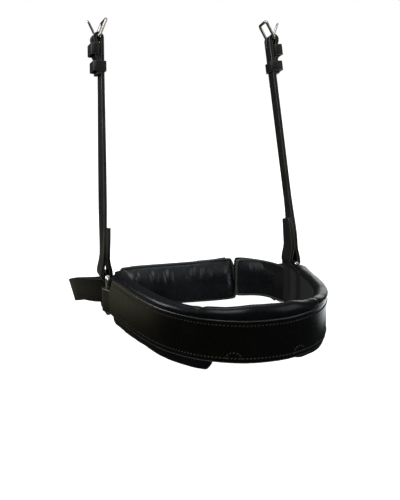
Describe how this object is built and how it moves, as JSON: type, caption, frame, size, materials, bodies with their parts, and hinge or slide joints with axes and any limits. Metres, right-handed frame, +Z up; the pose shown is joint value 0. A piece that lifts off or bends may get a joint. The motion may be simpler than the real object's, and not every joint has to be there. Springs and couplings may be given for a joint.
{
  "type": "bridle noseband",
  "caption": "Padded leather noseband for a horse bridle, with two rings, buckled cheek straps and a padded chin strap with a roller buckle.",
  "frame": {"origin": "midway between the two rings across, midway between their front and rear bars, at half the height of the nosepiece", "axes": "+X towards the right-hand ring in the picture, -Y towards the front of the nosepiece, +Z up along the cheek straps"},
  "size_m": [0.1818, 0.2025, 0.2267],
  "materials": {
    "black_leather": "smooth black leather with a soft shine",
    "soft_leather": "soft black lining leather",
    "backing_leather": "matte dark brown flesh side",
    "foam": "matte closed-cell foam",
    "polished_steel": "polished nickel-coloured steel"
  },
  "bodies": {
    "nosepiece": {"nosepiece_panel": "black_leather", "nosepiece_lining": "soft_leather", "nosepiece_foam": "foam"},
    "right_ring": {"right_ring": "polished_steel"},
    "left_ring": {"left_ring": "polished_steel"},
    "right_cheek": {"right_cheek_strap": "black_leather", "right_fixed_keeper": "black_leather"},
    "left_cheek": {"left_cheek_strap": "black_leather", "left_fixed_keeper": "black_leather"},
    "right_runner": {"right_runner_keeper": "black_leather"},
    "left_runner": {"left_runner_keeper": "black_leather"},
    "right_buckle": {"right_buckle_frame": "polished_steel"},
    "left_buckle": {"left_buckle_frame": "polished_steel"},
    "right_tongue": {"right_buckle_tongue": "polished_steel"},
    "left_tongue": {"left_buckle_tongue": "polished_steel"},
    "chin": {"chin_strap": "black_leather", "left_chin_pad_cover": "soft_leather", "left_chin_pad_foam": "foam", "left_chin_pad_backing": "backing_leather", "right_chin_pad_cover": "soft_leather", "right_chin_pad_foam": "foam", "right_chin_pad_backing": "backing_leather", "chin_buckle_chape": "black_leather", "chin_fixed_keeper": "black_leather"},
    "chin_runner": {"chin_runner_keeper": "black_leather"},
    "chin_buckle": {"chin_buckle_frame": "polished_steel"},
    "chin_roller": {"chin_buckle_roller": "polished_steel"},
    "chin_tongue": {"chin_buckle_tongue": "polished_steel"}
  },
  "joints": [
    {"name": "right_ring_swing", "type": "hinge", "parent": "nosepiece", "child": "right_ring", "pos_m": [0.0765, -0.0145, -0.0025], "axis": [0, 0, 1], "range_deg": [-10, 10]},
    {"name": "left_ring_swing", "type": "hinge", "parent": "nosepiece", "child": "left_ring", "pos_m": [-0.0765, -0.0145, -0.0025], "axis": [0, 0, 1], "range_deg": [-10, 10]},
    {"name": "chin_strap_swing", "type": "hinge", "parent": "right_ring", "child": "chin", "pos_m": [0.0765, 0.0145, -0.0025], "axis": [0, 0, 1], "range_deg": [-10, 10]},
    {"name": "right_cheek_swing", "type": "hinge", "parent": "right_ring", "child": "right_cheek", "pos_m": [0.0765, 0, 0.012], "axis": [0, 1, 0], "range_deg": [-20, 80]},
    {"name": "left_cheek_swing", "type": "hinge", "parent": "left_ring", "child": "left_cheek", "pos_m": [-0.0765, 0, 0.012], "axis": [0, -1, 0], "range_deg": [-20, 80]},
    {"name": "right_runner_slide", "type": "slide", "parent": "right_cheek", "child": "right_runner", "axis": [-0.0698, 0.2164, 0.9738], "range_m": [-0.06, 0.002]},
    {"name": "left_runner_slide", "type": "slide", "parent": "left_cheek", "child": "left_runner", "axis": [0.0494, 0.2164, 0.9751], "range_m": [-0.03, 0.002]},
    {"name": "right_buckle_hinge", "type": "hinge", "parent": "right_cheek", "child": "right_buckle", "pos_m": [0.0687, 0.03334, 0.18583], "axis": [0.0155, 0.9763, -0.2159], "range_deg": [-50, 38]},
    {"name": "left_buckle_hinge", "type": "hinge", "parent": "left_cheek", "child": "left_buckle", "pos_m": [-0.07233, 0.03314, 0.186], "axis": [0.0841, -0.9737, 0.2119], "range_deg": [-50, 38]},
    {"name": "right_tongue_hinge", "type": "hinge", "parent": "right_buckle", "child": "right_tongue", "pos_m": [0.0687, 0.03334, 0.18583], "axis": [0.0155, 0.9763, -0.2159], "range_deg": [-39, 20]},
    {"name": "left_tongue_hinge", "type": "hinge", "parent": "left_buckle", "child": "left_tongue", "pos_m": [-0.07233, 0.03314, 0.186], "axis": [0.0841, -0.9737, 0.2119], "range_deg": [-39, 20]},
    {"name": "chin_runner_slide", "type": "slide", "parent": "chin", "child": "chin_runner", "axis": [1, 0, 0], "range_m": [-0.0015, 0.002]},
    {"name": "chin_buckle_hinge", "type": "hinge", "parent": "chin", "child": "chin_buckle", "pos_m": [-0.0165, 0.02325, -0.0048], "axis": [0, 0, -1], "range_deg": [0, 2]},
    {"name": "chin_roller_spin", "type": "hinge", "parent": "chin_buckle", "child": "chin_roller", "pos_m": [-0.0355, 0.02405, -0.0048], "axis": [0, 0, 1], "continuous": true},
    {"name": "chin_tongue_hinge", "type": "hinge", "parent": "chin_buckle", "child": "chin_tongue", "pos_m": [-0.0165, 0.02325, -0.0048], "axis": [0, 0, -1], "range_deg": [0, 1]}
  ],
  "couplings": [
    {"joint": "left_ring_swing", "follows": "right_ring_swing", "ratio": 1},
    {"joint": "chin_strap_swing", "follows": "right_ring_swing", "ratio": -1}
  ]
}
